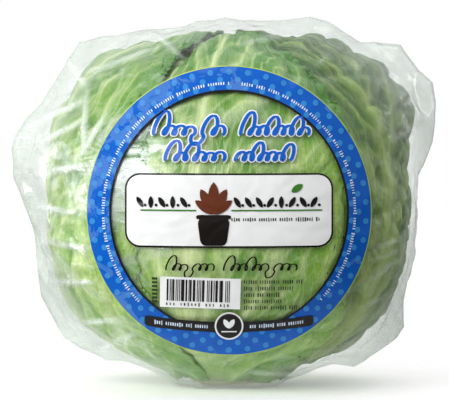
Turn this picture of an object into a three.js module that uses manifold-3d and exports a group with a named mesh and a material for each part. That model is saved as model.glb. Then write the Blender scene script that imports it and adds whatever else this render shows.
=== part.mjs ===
// A head of iceberg lettuce in a clear shrink film wrap, standing on its cut stem.
// Millimetres, +Z up. The printed front of the wrap faces -Y.
// The head is built around its own middle, and the group then stands it on z = 0.
import * as THREE from "three";
import Module from "manifold-3d";
import { mergeVertices } from "three/addons/utils/BufferGeometryUtils.js";

// The head, measured over its outermost leaves.
const HEAD_WIDTH = 160; // along X
const HEAD_DEPTH = 150; // along Y
const CROWN_RISE = 78.5; // from the widest level up to the crown
const BASE_DROP = 71.5; // from the widest level down to where the leaves leave the stem
const SQUARENESS = 2.2; // 2 is an ellipsoid, and more is boxier

// The leaves: two whorls, each leaf lying over the next one round, like a pinwheel.
const LEAF_THICKNESS = 1.2;
const LEAF_SPACING = 1.5; // clear gap between one leaf and the next
const LEAVES_IN_WHORL = 5;
const FIRST_LEAF_AZIMUTH = -30; // degrees round from +X: the broad-ribbed leaf at the front right
const LEAF_SPREAD = { base: 68, middle: 56, tip: 34 }; // half the width of a leaf, in degrees of azimuth
const LEAF_TWIST = 10; // degrees of azimuth that a leaf's tip leans past its base
const TIP_ROUNDING = 20; // degrees by which a tip's corners stand back from its middle
const OUTER_TIP_ANGLES = [172, 164, 159, 175, 168]; // degrees up from straight down, one for each leaf
const INNER_TIP_ANGLES = [174, 168, 172, 166, 170];
const RIB_HEIGHT = 1.3; // the midrib's swelling at the foot of a leaf
const RIB_HALF_WIDTH = 7; // degrees of azimuth
const FACETS_ACROSS_PER_MM = 0.073; // of the head's size: the finer the facets, the less they dip between leaves
const FACETS_ALONG_PER_MM = 0.085;

// The cut stem.
const STEM_DIAMETER = 34;
const STEM_PROUD = 3; // how far the cut face stands below the leaf bases
const STEM_BEVEL = 1.5;
const STEM_FLARE = 1.06; // the stem's top is this much wider than its cut face
const STEM_CLEARANCE = 1;

// The film.
const FILM_WALL = 0.4;
const FILM_GAP = 1;
const FOOT_RADIUS = 22; // the flat that the wrap stands on
const FOOT_FADE = 30; // degrees over which the flat blends into the round
const RIM_HALF_WIDTH = 15; // degrees in front of and behind the rim over which its ears fade
const VENT_DIAMETER = 7;
const VENT_SPREAD = 44; // between the two vents, along X
const VENT_HEIGHT = 34; // above the widest level

// How far the film's rim stands off the head, in millimetres, at angles counted in degrees round
// the front view from +X towards +Z. The high places are the ears at the four corners.
const RIM_STAND_OFF = [
  [0, 0], [10, 2], [19, 11], [27, 18], [33, 20.5], [37, 18.5], [43.5, 20], [52, 10], [66, 10],
  [73, 4], [80, 3], [91, 3.5], [99, 2.5], [107, 0], [114, 4], [127, 10], [134, 14.5], [143, 10],
  [150, 10], [157, 14.5], [169, 15], [177, 8], [186, 3], [204, 7], [216, 10.5], [224, 8],
  [231, 5.5], [237, 1.5], [250, 0.5], [271, 1], [283, 4], [296, 3.5], [302, 1], [307, 9.5],
  [313, 10.5], [326, 10], [335, 2.5], [347, 1],
];

const FILM_MATERIAL = new THREE.MeshStandardMaterial({
  color: 0xdfe9e6,
  roughness: 0.1,
  metalness: 0,
  transparent: true,
  opacity: 0.35,
});
const OUTER_LEAF_MATERIAL = new THREE.MeshStandardMaterial({ color: 0x8fb86a, roughness: 0.45, metalness: 0 });
const INNER_LEAF_MATERIAL = new THREE.MeshStandardMaterial({ color: 0xa9cc80, roughness: 0.45, metalness: 0 });
const HEART_MATERIAL = new THREE.MeshStandardMaterial({ color: 0xcfe0a4, roughness: 0.5, metalness: 0 });
const STEM_MATERIAL = new THREE.MeshStandardMaterial({ color: 0xe4dcc0, roughness: 0.7, metalness: 0 });

const radians = THREE.MathUtils.degToRad;
const degrees = THREE.MathUtils.radToDeg;
const { lerp, smoothstep } = THREE.MathUtils;

const HEAD_SIZE = Math.max(HEAD_WIDTH, HEAD_DEPTH, CROWN_RISE + BASE_DROP);
const FACETS_ACROSS = Math.ceil(HEAD_SIZE * FACETS_ACROSS_PER_MM);
const FACETS_ALONG = Math.ceil(HEAD_SIZE * FACETS_ALONG_PER_MM);
const LEAF_PITCH = 360 / LEAVES_IN_WHORL;
const LEAF_STEP = LEAF_THICKNESS + LEAF_SPACING;
const RISE_PER_DEGREE = LEAF_STEP / LEAF_PITCH; // how a leaf climbs over the next one, across its width
const WIDEST_SPREAD = Math.max(LEAF_SPREAD.base, LEAF_SPREAD.middle, LEAF_SPREAD.tip);
const WHORL_DEPTH = 2 * RISE_PER_DEGREE * WIDEST_SPREAD + LEAF_THICKNESS;
const INNER_WHORL_DEPTH = WHORL_DEPTH + LEAF_SPACING;
const HEART_DEPTH = INNER_WHORL_DEPTH + WHORL_DEPTH + LEAF_SPACING;
const STEM_RADIUS = STEM_DIAMETER / 2;
const FLOOR_LEVEL = -(BASE_DROP + STEM_PROUD + FILM_GAP + FILM_WALL);

// The distance from the head's middle to its surface along a direction.
function headReach(direction) {
  const rise = direction.z > 0 ? CROWN_RISE : BASE_DROP;
  const sum =
    Math.abs(direction.x / (HEAD_WIDTH / 2)) ** SQUARENESS +
    Math.abs(direction.y / (HEAD_DEPTH / 2)) ** SQUARENESS +
    Math.abs(direction.z / rise) ** SQUARENESS;
  return direction.length() / sum ** (1 / SQUARENESS);
}

// A point a given depth under the head's surface. The azimuth runs round from +X, and the tilt is
// counted up from straight down, so a leaf grows from a small tilt at the stem to a large one.
function headPoint(azimuth, tilt, depth) {
  const direction = new THREE.Vector3(
    Math.sin(tilt) * Math.cos(azimuth),
    Math.sin(tilt) * Math.sin(azimuth),
    -Math.cos(tilt),
  );
  return direction.multiplyScalar(headReach(direction) - depth);
}

// Moves every vertex of a geometry and leaves one closed surface with shared vertices.
function reshape(geometry, move) {
  const position = geometry.getAttribute("position");
  const point = new THREE.Vector3();
  for (let i = 0; i < position.count; i++) {
    const moved = move(point.fromBufferAttribute(position, i));
    position.setXYZ(i, moved.x, moved.y, moved.z);
  }
  geometry.deleteAttribute("normal");
  geometry.deleteAttribute("uv");
  const closed = mergeVertices(geometry, 1e-4);
  closed.computeVertexNormals();
  return closed;
}

// One cupped leaf: a thin slab bent round the head, broad at its foot and rounded at its tip.
function leafGeometry({ centre, tip, whorlDepth }) {
  const deepest = whorlDepth + WHORL_DEPTH;
  const foot = degrees(Math.asin((STEM_RADIUS * STEM_FLARE + STEM_CLEARANCE) / (BASE_DROP - deepest)));
  const slab = new THREE.BoxGeometry(2, 1, 1, FACETS_ACROSS, FACETS_ALONG, 1);
  return reshape(slab, (p) => {
    const along = p.y + 0.5;
    const across = Math.sign(p.x) * Math.abs(p.x) ** 1.2;
    const broad = lerp(LEAF_SPREAD.base, LEAF_SPREAD.middle, smoothstep(along, 0, 0.4));
    const spread = lerp(broad, LEAF_SPREAD.tip, smoothstep(along, 0.55, 1));
    const turn = spread * across;
    const tipAngle = tip - TIP_ROUNDING * across ** 2;
    const tilt = lerp(foot, tipAngle, along);
    const rib = RIB_HEIGHT * (1 - along) * Math.exp(-((turn / RIB_HALF_WIDTH) ** 2));
    const outerDepth = whorlDepth + RISE_PER_DEGREE * (WIDEST_SPREAD - turn);
    const depth = p.z > 0 ? outerDepth - rib : outerDepth + LEAF_THICKNESS;
    const azimuth = centre + turn + LEAF_TWIST * (along - 0.5);
    return headPoint(radians(azimuth), radians(tilt), depth);
  });
}

// One ring of leaves, spread evenly round the stem.
function leafWhorl(name, { firstAzimuth, tips, whorlDepth, material }) {
  const whorl = new THREE.Group();
  for (let i = 0; i < LEAVES_IN_WHORL; i++) {
    const leaf = new THREE.Mesh(
      leafGeometry({ centre: firstAzimuth + i * LEAF_PITCH, tip: tips[i % tips.length], whorlDepth }),
      material,
    );
    leaf.name = `${name}_${i + 1}`;
    whorl.add(leaf);
  }
  return whorl;
}

// The packed heart of folded inner leaves.
function heart() {
  const ball = new THREE.SphereGeometry(1, 32, 20).rotateX(Math.PI / 2);
  const mesh = new THREE.Mesh(
    reshape(ball, (p) => {
      const direction = p.clone().normalize();
      return direction.multiplyScalar(headReach(direction) - HEART_DEPTH);
    }),
    HEART_MATERIAL,
  );
  mesh.name = "heart";
  return mesh;
}

// The cut stem, from its flat face up to the underside of the heart.
function stemButt() {
  const bottom = -(BASE_DROP + STEM_PROUD);
  const top = -(BASE_DROP - HEART_DEPTH + LEAF_SPACING);
  const profile = [
    new THREE.Vector2(0, bottom),
    new THREE.Vector2(STEM_RADIUS - STEM_BEVEL, bottom),
    new THREE.Vector2(STEM_RADIUS, bottom + STEM_BEVEL),
    new THREE.Vector2(STEM_RADIUS * STEM_FLARE, top),
    new THREE.Vector2(0, top),
  ];
  const mesh = new THREE.Mesh(new THREE.LatheGeometry(profile, 32), STEM_MATERIAL);
  mesh.name = "stem_butt";
  mesh.rotation.x = Math.PI / 2;
  return mesh;
}

// How far the film stands off the head along a direction: the rim's ears and the flat foot.
function filmStandOff(direction) {
  const angle = (degrees(Math.atan2(direction.z, direction.x)) + 360) % 360;
  const next = RIM_STAND_OFF.findIndex(([at]) => at > angle);
  const [fromAngle, from] = RIM_STAND_OFF.at(next - 1);
  const [toAngle, to] = next < 0 ? [360, RIM_STAND_OFF[0][1]] : RIM_STAND_OFF[next];
  const start = next === 0 ? fromAngle - 360 : fromAngle;
  const rim = lerp(from, to, (angle - start) / (toAngle - start));
  const offRim = degrees(Math.asin(Math.abs(direction.y)));
  const ear = rim * Math.exp(-((offRim / RIM_HALF_WIDTH) ** 2));
  const footAngle = degrees(Math.atan(FOOT_RADIUS / -FLOOR_LEVEL));
  const footReach = Math.hypot(FOOT_RADIUS, FLOOR_LEVEL);
  const fromDown = degrees(Math.acos(-direction.z));
  const foot = (footReach - BASE_DROP) * (1 - smoothstep(fromDown, footAngle, footAngle + FOOT_FADE));
  return Math.max(ear, foot);
}

// The bag's surface, a given distance outside the head, cut level at the floor.
function bagGeometry(offset, floor) {
  const ball = new THREE.SphereGeometry(1, 64, 20);
  return reshape(ball, (p) => {
    const direction = p.clone().normalize();
    direction.multiplyScalar(headReach(direction) + filmStandOff(direction) + offset);
    direction.z = Math.max(direction.z, floor);
    return direction;
  });
}

// A vent's cutter, through the back of the bag only.
function ventGeometry(x) {
  const cutter = new THREE.CylinderGeometry(VENT_DIAMETER / 2, VENT_DIAMETER / 2, HEAD_DEPTH / 2, 16);
  return reshape(cutter.translate(x, HEAD_DEPTH * 0.625, VENT_HEIGHT), (p) => p);
}

const wasm = await Module();
wasm.setup();

function toSolid(geometry) {
  return new wasm.Manifold(
    new wasm.Mesh({
      numProp: 3,
      vertProperties: geometry.getAttribute("position").array,
      triVerts: new Uint32Array(geometry.index.array),
    }),
  );
}

function toGeometry(solid) {
  const { vertProperties, triVerts } = solid.getMesh();
  const geometry = new THREE.BufferGeometry();
  geometry.setAttribute("position", new THREE.BufferAttribute(vertProperties, 3));
  geometry.setIndex(new THREE.BufferAttribute(triVerts, 1));
  geometry.computeVertexNormals();
  return geometry;
}

// The film: one bag sealed round its rim and shrunk over the head, with two vents at the back.
function filmWrap() {
  const outside = toSolid(bagGeometry(FILM_GAP + FILM_WALL, FLOOR_LEVEL));
  const inside = toSolid(bagGeometry(FILM_GAP, FLOOR_LEVEL + FILM_WALL));
  const vents = [-1, 1].map((side) => toSolid(ventGeometry((side * VENT_SPREAD) / 2)));
  const vented = vents.reduce((solid, vent) => solid.subtract(vent), outside.subtract(inside));
  const mesh = new THREE.Mesh(toGeometry(vented), FILM_MATERIAL);
  mesh.name = "film_wrap";
  return mesh;
}

const head = new THREE.Group();
head.add(
  heart(),
  stemButt(),
  leafWhorl("inner_leaf", {
    firstAzimuth: FIRST_LEAF_AZIMUTH + LEAF_PITCH / 2,
    tips: INNER_TIP_ANGLES,
    whorlDepth: INNER_WHORL_DEPTH,
    material: INNER_LEAF_MATERIAL,
  }),
  leafWhorl("outer_leaf", {
    firstAzimuth: FIRST_LEAF_AZIMUTH,
    tips: OUTER_TIP_ANGLES,
    whorlDepth: 0,
    material: OUTER_LEAF_MATERIAL,
  }),
  filmWrap(),
);

// The wrapped head stands on z = 0 with the middle of its outline over the origin.
const outline = new THREE.Box3().setFromObject(head);
const middle = outline.getCenter(new THREE.Vector3());
head.position.set(-middle.x, -middle.y, -outline.min.z);

const lettuce = new THREE.Group();
lettuce.add(head);

export default lettuce;
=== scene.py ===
import math
import random

import bmesh
import bpy
from mathutils import Matrix, Vector, noise
from mathutils.bvhtree import BVHTree


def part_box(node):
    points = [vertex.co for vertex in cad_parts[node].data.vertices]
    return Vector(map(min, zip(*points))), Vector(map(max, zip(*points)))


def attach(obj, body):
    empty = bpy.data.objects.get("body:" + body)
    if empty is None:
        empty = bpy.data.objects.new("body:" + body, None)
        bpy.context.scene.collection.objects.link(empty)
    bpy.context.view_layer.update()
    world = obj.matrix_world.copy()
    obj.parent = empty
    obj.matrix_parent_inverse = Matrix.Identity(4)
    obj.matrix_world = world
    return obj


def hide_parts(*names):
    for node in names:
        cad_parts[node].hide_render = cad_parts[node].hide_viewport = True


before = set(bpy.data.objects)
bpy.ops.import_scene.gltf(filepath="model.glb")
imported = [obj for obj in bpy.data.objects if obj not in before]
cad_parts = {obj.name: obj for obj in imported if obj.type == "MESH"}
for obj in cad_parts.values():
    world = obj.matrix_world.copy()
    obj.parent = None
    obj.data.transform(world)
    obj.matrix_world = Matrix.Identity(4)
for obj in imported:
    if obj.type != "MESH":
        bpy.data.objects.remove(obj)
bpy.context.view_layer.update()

# A head of iceberg lettuce in a clear film wrap. Metres, +Z up, and the printed front faces -Y.
MM = 0.001

# ------------ the head's shape
HALF_WIDTH = 80 * MM
HALF_DEPTH = 75 * MM
CROWN_RISE = 78.5 * MM
BASE_DROP = 71.5 * MM
SQUARENESS = 2.2
CROWN_LUMPS = 3.4 * MM  # how unevenly the leaves fold over the crown

HEART_LOW, HEART_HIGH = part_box("heart")
MIDDLE = (HEART_LOW + HEART_HIGH) / 2 - Vector((0, 0, (CROWN_RISE - BASE_DROP) / 2))
STEM_LOW, STEM_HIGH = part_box("stem_butt")
STEM_RADIUS = (STEM_HIGH.x - STEM_LOW.x) / 2

# ------------ the leaves, as in the frame
LEAF_THICKNESS = 1.2 * MM
LEAF_SPACING = 1.5 * MM
LEAVES_IN_WHORL = 5
LEAF_PITCH = 360 / LEAVES_IN_WHORL
FIRST_LEAF_AZIMUTH = -30
SPREAD_BASE, SPREAD_MIDDLE, SPREAD_TIP = 68, 56, 34
LEAF_TWIST = 10
TIP_ROUNDING = 20
OUTER_TIP_ANGLES = (172, 164, 159, 175, 168)
INNER_TIP_ANGLES = (174, 168, 172, 166, 170)
RISE_PER_DEGREE = (LEAF_THICKNESS + LEAF_SPACING) / LEAF_PITCH
WHORL_DEPTH = 2 * RISE_PER_DEGREE * SPREAD_BASE + LEAF_THICKNESS
INNER_WHORL_DEPTH = WHORL_DEPTH + LEAF_SPACING
HEART_DEPTH = INNER_WHORL_DEPTH + WHORL_DEPTH + LEAF_SPACING

# ------------ the leaves' crinkles, not in the frame
BLADE_WALL = 0.7 * MM
OUTER_GRID, INNER_GRID = (180, 196), (56, 64)  # cells across and along a leaf
OUTER_COLOURS = ("deep", "fresh", "fresh", "yellow", "yellow")  # of the outer leaves, in turn: deep on the leaf at the right and yellow on the leaves at the left and front, partly the leaves' own colours and partly painted shade at the right and painted light at the left
RIB_HALF_WIDTH = 9 * MM  # of the midrib at the leaf's foot
RIB_HEIGHT = 1.9 * MM
SIDE_VEINS = 7
SIDE_VEIN_RISE = 3.4  # how steeply the side veins climb away from the midrib
PUCKER = 2.4 * MM
PLEAT = 1.5 * MM
FRILL = 2.3 * MM
TUCK = 0.9 * MM  # how much further in the side that lies under the next leaf is pressed
SWELL = 1.2 * MM  # the blades bear on the film between their dents
CROWN_REACH = 12  # degrees further over the crown than the plain slabs
CROWN_LIMIT = 177.5  # no tip passes the top of the head, where it would cut through the leaves opposite
TIP_WIDENING = 14  # degrees wider at the tip than the plain slabs, so that the tips lap over each other
HEART_CLEARANCE = 2.5 * MM  # inside the crinkles of the leaves round it
LEAF_LAYERS = ("across", "along", "rib", "frill", "dent")  # what the leaves' materials read from the meshes

# ------------ the film
FILM_WALL = 0.12 * MM
FILM_GAP = 1.0 * MM
FOOT_RADIUS = 22 * MM
FILM_CLEARANCE = 0.85 * MM  # over the leaves, at least
FILM_FOOT = 0.3 * MM  # the film's lowest skin, over the floor
FILM_COLUMNS, FILM_ROWS = 76, 36  # of flat facets round the rim, and from the front to the back
FACET_CUTS = 3
FACET_DEPTH = 1.15 * MM
PAINTED_SHEEN_SPOT = (-0.043, -0.060, 0.094)  # a painted sheen whitens the film here, a highlight of the lamp at the left
VENT_RADIUS = 3.5 * MM
VENT_SPREAD = 44 * MM
VENT_HEIGHT = 34 * MM

# How far the rim stands off the head, in millimetres, at degrees round the front view from +X to +Z.
RIM_STAND_OFF = (
    (0, 0), (10, 2), (19, 11), (27, 18), (33, 20.5), (37, 18.5), (43.5, 20), (52, 10), (66, 10),
    (73, 4), (80, 3), (91, 3.5), (99, 2.5), (107, 0), (114, 4), (127, 10), (134, 14.5), (143, 10),
    (150, 10), (157, 14.5), (169, 15), (177, 8), (186, 3), (204, 7), (216, 10.5), (224, 8),
    (231, 5.5), (237, 1.5), (250, 0.5), (271, 1), (283, 4), (296, 3.5), (302, 1), (307, 9.5),
    (313, 10.5), (326, 10), (335, 2.5), (347, 1), (360, 0),
)

# Creases pulled straight in the film's front: from x, z to x, z in millimetres from the print's
# middle, then how high the crease stands.
CREASES = (
    (-88, 15, -59, 21, 0.8), (-60, 52, -61, 26, 1.2), (-61, 26, -52, 41, 0.7), (-60, 52, -70, 66, 0.9),
    (-86, 37, -60, 48, 0.7), (-80, 30, -62, 39, 0.5), (-84, 2, -62, 1, 0.5), (-80, -12, -60, -14, 0.5),
    (-76, -30, -58, -28, 0.5), (-62, -47, -47, -44, 0.6), (-56, -60, -40, -50, 0.7),
    (60, -14, 79, -9, 0.8), (60, -19, 76, -14, 0.7), (57, -29, 75, -17, 0.8), (55, -40, 66, -34, 0.6),
    (60, 50, 73, 66, 1.0), (62, 38, 84, 58, 0.8), (73, 66, 88, 44, 0.8), (57, 66, 66, 76, 0.6),
    (66, 30, 86, 40, 0.6), (52, -62, 70, -46, 0.8), (40, -60, 56, -64, 0.7), (8, -67, 30, -70, 0.6),
    (-30, 70, -58, 60, 0.5), (4, 71, 30, 77, 0.6), (36, 62, 50, 72, 0.7), (-20, 66, -34, 78, 0.5),
)

# ------------ the print on the film's front
RING_OUTER = 59.6 * MM
RING_INNER = 49.9 * MM
LINE_WIDTH = 0.75 * MM
PLATE_WIDTH, PLATE_HEIGHT, PLATE_CORNER = 85.1 * MM, 28.7 * MM, 5.6 * MM
PLATE_MIDDLE = 1.0 * MM
PLATE_RIM = 0.75 * MM
DOT_ROWS = (60.6 * MM, 57.4 * MM, 54.2 * MM, 51.2 * MM)  # each row's radius
DOTS_IN_ROW = 46
DOT_RADIUS = 1.25 * MM
RING_WORDS_RADIUS = 52.6 * MM
POT_X, POT_MIDDLE = -6.4 * MM, -7.6 * MM
POT_WIDTH, POT_HEIGHT = 13.6 * MM, 11.2 * MM
BAR_TURN = math.radians(1.5)
BAR_DROP = 0.026  # how far the bars' row falls for each unit to the right
BANNER_WIDTH, BANNER_TALL = 71 * MM, 4.5 * MM
BANNER_MIDDLE, BANNER_RISE = -47.2 * MM, 2.4 * MM  # the rise is of its ends over its middle
SEAL_HEIGHT = -46.8 * MM
PRINT_RISE = 1.65 * MM  # of the print's middle over the head's
PRINT_WIDE, PRINT_TALL = 0.99, 1.01  # the film's pull on the print
INK_LIFT = 0.16 * MM  # each coat of ink over the last

# ------------ the studio
DOME_LEFT, DOME_RIGHT = 0.81, 0.6
DOME_BELOW = 0.3  # the share of the dome's light that is left under the horizon
FLOOR_RADIUS = 0.15
FLOOR_SOLID = 0.06  # the floor fades away from here outwards
FLOOR_GLOW = 0.18  # a lit white table
CAMERA_DISTANCE = 1.3
CAMERA_ELEVATION = 2
VIEW_WIDTH = 0.1949
LOOK_AT = Vector((0.9 * MM, 0, 80.3 * MM))
SOFTBOXES = (  # name, place, size, power
    ("key_left", (-0.76, -0.95, 0.64), (0.8, 0.8), 11.5),
    ("strip_left", (-1.2, 0.1, 0.04), (0.35, 0.8), 4.8),
    ("top", (0.1, 0.3, 1.15), (0.9, 0.6), 2.3),
    ("strip_right", (1.1, 0.45, 0.5), (0.15, 0.8), 1.1),
)
SOFTBOX_AIM = Vector((0, 0, 0.08))
WHITE = (1, 1, 1, 1)


def clamp(value, low=0.0, high=1.0):
    return max(low, min(high, value))


def blend(a, b, share):
    return a + (b - a) * share


def smooth(low, high, value):
    """0 at low, 1 at high, with an easy slope between. Low may be the larger."""
    t = clamp((value - low) / (high - low))
    return t * t * (3 - 2 * t)


def head_reach(direction):
    """From the head's middle to its surface along a unit direction."""
    rise = CROWN_RISE if direction.z > 0 else BASE_DROP
    total = (
        abs(direction.x / HALF_WIDTH) ** SQUARENESS
        + abs(direction.y / HALF_DEPTH) ** SQUARENESS
        + abs(direction.z / rise) ** SQUARENESS
    )
    return total ** (-1 / SQUARENESS)


def rim_stand_off(direction):
    angle = math.degrees(math.atan2(direction.z, direction.x)) % 360
    for (start, low), (end, high) in zip(RIM_STAND_OFF, RIM_STAND_OFF[1:]):
        if angle <= end:
            return blend(low, high, (angle - start) / (end - start)) * MM
    return 0.0


def taut(base, peak, off):
    """The reach of film drawn straight from a peak to where it touches the ball, off radians away."""
    if peak <= base:
        return base
    lean = math.acos(base / peak)
    return base / math.cos(lean - off) if off < lean else base


def film_reaches(direction):
    """The smooth film, close on the head: as drawn out to the rim, and as drawn down to the foot."""
    base = head_reach(direction) + FILM_GAP
    to_rim = taut(base, base + rim_stand_off(direction), math.asin(clamp(abs(direction.y))))
    down = MIDDLE.z - FILM_FOOT
    foot_angle = math.atan(FOOT_RADIUS / down)
    from_down = math.acos(clamp(-direction.z, -1, 1))
    to_foot = taut(base, math.hypot(FOOT_RADIUS, down), max(0.0, from_down - foot_angle))
    return to_rim, to_foot


def print_calm(direction):
    """Little under the print, where the film lies taut, and 1 away from it."""
    away = math.hypot(direction.x, direction.z)
    return blend(0.2, 1.0, smooth(0.66, 0.86, away)) if direction.y < 0 else 1.0


def leaf_reach(direction):
    """How far the leaves swell inside the film: nearly into its foot, and part of the way into its ears."""
    head = head_reach(direction)
    to_rim, to_foot = film_reaches(direction)
    ears = blend(0.3, 0.66, smooth(-0.1, 0.35, direction.z))
    ears *= blend(0.35, 1.0, smooth(0.98, 0.85, abs(direction.x)))
    lumps = CROWN_LUMPS * smooth(0.45, 0.9, direction.z) * (0.05 + 1.1 * noise.noise(direction * 4.4))
    return head - lumps + max(ears * (to_rim - FILM_GAP - head), 0.9 * (to_foot - FILM_GAP - head))


# ============ materials
class Recipe:
    """A material's node tree, built a node at a time."""

    def __init__(self, name):
        self.material = bpy.data.materials.new(name)
        self.material.use_nodes = True
        self.tree = self.material.node_tree
        self.tree.nodes.clear()
        self.output = self.tree.nodes.new("ShaderNodeOutputMaterial")

    def node(self, kind, settings=None, **inputs):
        made = self.tree.nodes.new(kind)
        for key, value in (settings or {}).items():
            setattr(made, key, value)
        for key, value in inputs.items():
            self.put(made.inputs[key.replace("_", " ")], value)
        return made

    def put(self, socket, value):
        if isinstance(value, bpy.types.NodeSocket):
            self.tree.links.new(value, socket)
        else:
            socket.default_value = value

    def finish(self, shader):
        self.tree.links.new(shader, self.output.inputs["Surface"])
        return self.material

    def place(self, scale=(1, 1, 1), turn=(0, 0, 0)):
        """Object coordinates, stretched and turned."""
        coordinates = self.node("ShaderNodeTexCoord").outputs["Object"]
        return self.mapped(coordinates, scale, turn)

    def mapped(self, vector, scale, turn=(0, 0, 0)):
        return self.node("ShaderNodeMapping", Vector=vector, Scale=scale, Rotation=turn).outputs["Vector"]

    def attribute(self, name):
        return self.node("ShaderNodeAttribute", {"attribute_name": name}).outputs["Fac"]

    def noise(self, vector, scale, detail=3.0, roughness=0.55, distortion=0.0):
        return self.node(
            "ShaderNodeTexNoise",
            Vector=vector, Scale=scale, Detail=detail, Roughness=roughness, Distortion=distortion,
        ).outputs["Fac"]

    def math(self, operation, a, b=0.0, c=0.0):
        made = self.tree.nodes.new("ShaderNodeMath")
        made.operation = operation
        for socket, value in zip(made.inputs, (a, b, c)):
            self.put(socket, value)
        return made.outputs[0]

    def times(self, product, *factors):
        for factor in factors:
            product = self.math("MULTIPLY", product, factor)
        return product

    def plus(self, total, *others):
        for other in others:
            total = self.math("ADD", total, other)
        return total

    def span(self, value, low, high, to_low=0.0, to_high=1.0):
        """Value taken from one range to another, held at its ends."""
        made = self.tree.nodes.new("ShaderNodeMapRange")
        keys = ("Value", "From Min", "From Max", "To Min", "To Max")
        for key, put in zip(keys, (value, low, high, to_low, to_high)):
            self.put(made.inputs[key], put)
        return made.outputs["Result"]

    def mix(self, share, a, b):
        """One colour over another."""
        made = self.tree.nodes.new("ShaderNodeMix")
        made.data_type = "RGBA"
        colours = [s for s in made.inputs if s.type == "RGBA"]
        self.put(made.inputs[0], share)
        self.put(colours[0], a)
        self.put(colours[1], b)
        return next(s for s in made.outputs if s.type == "RGBA")

    def bump(self, height, strength, distance):
        made = self.node("ShaderNodeBump", Height=height, Strength=strength, Distance=distance)
        return made.outputs["Normal"]

    def mixed(self, share, first, second):
        """One shader fading into another."""
        made = self.tree.nodes.new("ShaderNodeMixShader")
        for socket, value in zip(made.inputs, (share, first, second)):
            self.put(socket, value)
        return made.outputs["Shader"]


def colour(red, green, blue):
    """Screen values from 0 to 255 as a linear colour."""
    screen = (red / 255, green / 255, blue / 255)
    return (*(c / 12.92 if c <= 0.04 else ((c + 0.055) / 1.055) ** 2.4 for c in screen), 1.0)


YELLOWING = colour(196, 200, 84)


def leaf_material(name, pale, deep, rim_green, rib_cream, seed):
    """A crisp leaf: watery green netted with pale veins, cream ribs with fibres, and a darker frill, with
    painted shade in its dents and towards its foot.
    """
    r = Recipe(name)
    place = r.place()
    across, along = r.attribute("across"), r.attribute("along")
    blade = r.node("ShaderNodeCombineXYZ", X=across, Y=along, Z=float(seed)).outputs["Vector"]
    fine = r.noise(place, 230, 3.0, 0.6)
    grain = r.noise(place, 620, 4.0, 0.7)
    patches = r.noise(place, 95, 6.0, 0.68, 1.1)

    def net(scale, width, warp):
        """Vein lines round cells that run along the blade."""
        shift = r.node("ShaderNodeTexNoise", Vector=place, Scale=55.0, Detail=3.0).outputs["Color"]
        bent = r.node("ShaderNodeVectorMath", {"operation": "SCALE"}, Vector=shift, Scale=warp)
        spot = r.node("ShaderNodeVectorMath", {"operation": "ADD"})
        r.put(spot.inputs[0], r.mapped(blade, scale))
        r.put(spot.inputs[1], bent.outputs["Vector"])
        cells = r.node(
            "ShaderNodeTexVoronoi", {"feature": "DISTANCE_TO_EDGE"}, Vector=spot.outputs["Vector"], Scale=1.0
        )
        return r.span(cells.outputs["Distance"], 0.0, width, 1.0, 0.0)

    def fibres(scale, low, high):
        return r.span(r.noise(r.mapped(blade, scale), 1.0, 5.0, 0.65, 0.8), low, high)

    large_veins, small_veins = net((8, 6, 1), 0.13, 1.6), net((26, 20, 1), 0.16, 1.2)
    green = r.mix(r.span(r.noise(place, 17, 4.0, 0.6, 0.9), 0.42, 0.58), pale, deep)
    green = r.mix(r.times(fibres((7, 1.3, 1), 0.42, 0.66), 0.6), green, deep)
    green = r.mix(r.times(fibres((20, 5, 1), 0.52, 0.75), 0.32), green, rib_cream)
    green = r.mix(r.times(small_veins, 0.14), green, rib_cream)
    green = r.mix(r.times(large_veins, 0.34), green, rib_cream)
    green = r.mix(r.span(r.noise(place, 31, 4.0, 0.6, 0.7), 0.5, 0.68, 0.0, 0.38), green, YELLOWING)
    green = r.mix(r.span(patches, 0.53, 0.6, 0.0, 0.4), green, rib_cream)
    green = r.mix(r.span(patches, 0.46, 0.38, 0.0, 0.45), green, deep)
    green = r.mix(r.span(grain, 0.46, 0.64, 0.0, 0.35), green, deep)
    # Painted shade: the blade darkens towards its foot, low on the head.
    green = r.mix(r.span(along, 0.02, 0.34, 0.7, 0.0), green, deep)
    # Painted shade: darker in the dents of the blade.
    green = r.mix(r.times(r.attribute("dent"), 0.6), green, deep)
    green = r.mix(r.span(along, 0.56, 0.82, 0.0, 0.85), green, rim_green)
    green = r.mix(r.span(fine, 0.35, 0.75, 0.0, 0.3), green, deep)
    stringy = r.span(fibres((40, 2.5, 1), 0.3, 0.7), 0.0, 1.0, 0.45, 1.0)
    ribs = r.times(r.attribute("rib"), stringy, r.span(along, 0.05, 0.3, 0.45, 1.0))
    tinted = r.mix(ribs, green, rib_cream)
    tinted = r.mix(r.times(r.attribute("frill"), 0.8), tinted, rim_green)
    height = r.plus(r.times(fine, 0.4), r.times(small_veins, 0.35), r.times(large_veins, 0.6))
    shader = r.node(
        "ShaderNodeBsdfPrincipled",
        Base_Color=tinted,
        Roughness=r.span(fine, 0.3, 0.7, 0.28, 0.45),
        Normal=r.bump(height, 0.55, 0.5 * MM),
    )
    shader.inputs["Subsurface Weight"].default_value = 0.1
    shader.inputs["Subsurface Radius"].default_value = (0.6, 1.0, 0.25)
    shader.inputs["Subsurface Scale"].default_value = 1.5 * MM
    return r.finish(shader.outputs["BSDF"])


def stem_material():
    """The cut stem: milky flesh with a ring of vessels, browned where the cut has dried."""
    r = Recipe("cut_stem")
    place = r.place()
    rings = r.noise(place, 300, 4.0, 0.6)
    dried = r.span(r.noise(place, 90, 4.0, 0.65, 0.5), 0.42, 0.68)
    flesh = r.mix(rings, colour(224, 220, 186), colour(199, 202, 150))
    tinted = r.mix(r.times(dried, 0.75), flesh, colour(158, 112, 70))
    shader = r.node(
        "ShaderNodeBsdfPrincipled", Base_Color=tinted, Roughness=r.span(rings, 0.3, 0.7, 0.4, 0.65),
        Normal=r.bump(rings, 0.5, 0.6 * MM),
    )
    return r.finish(shader.outputs["BSDF"])


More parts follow.
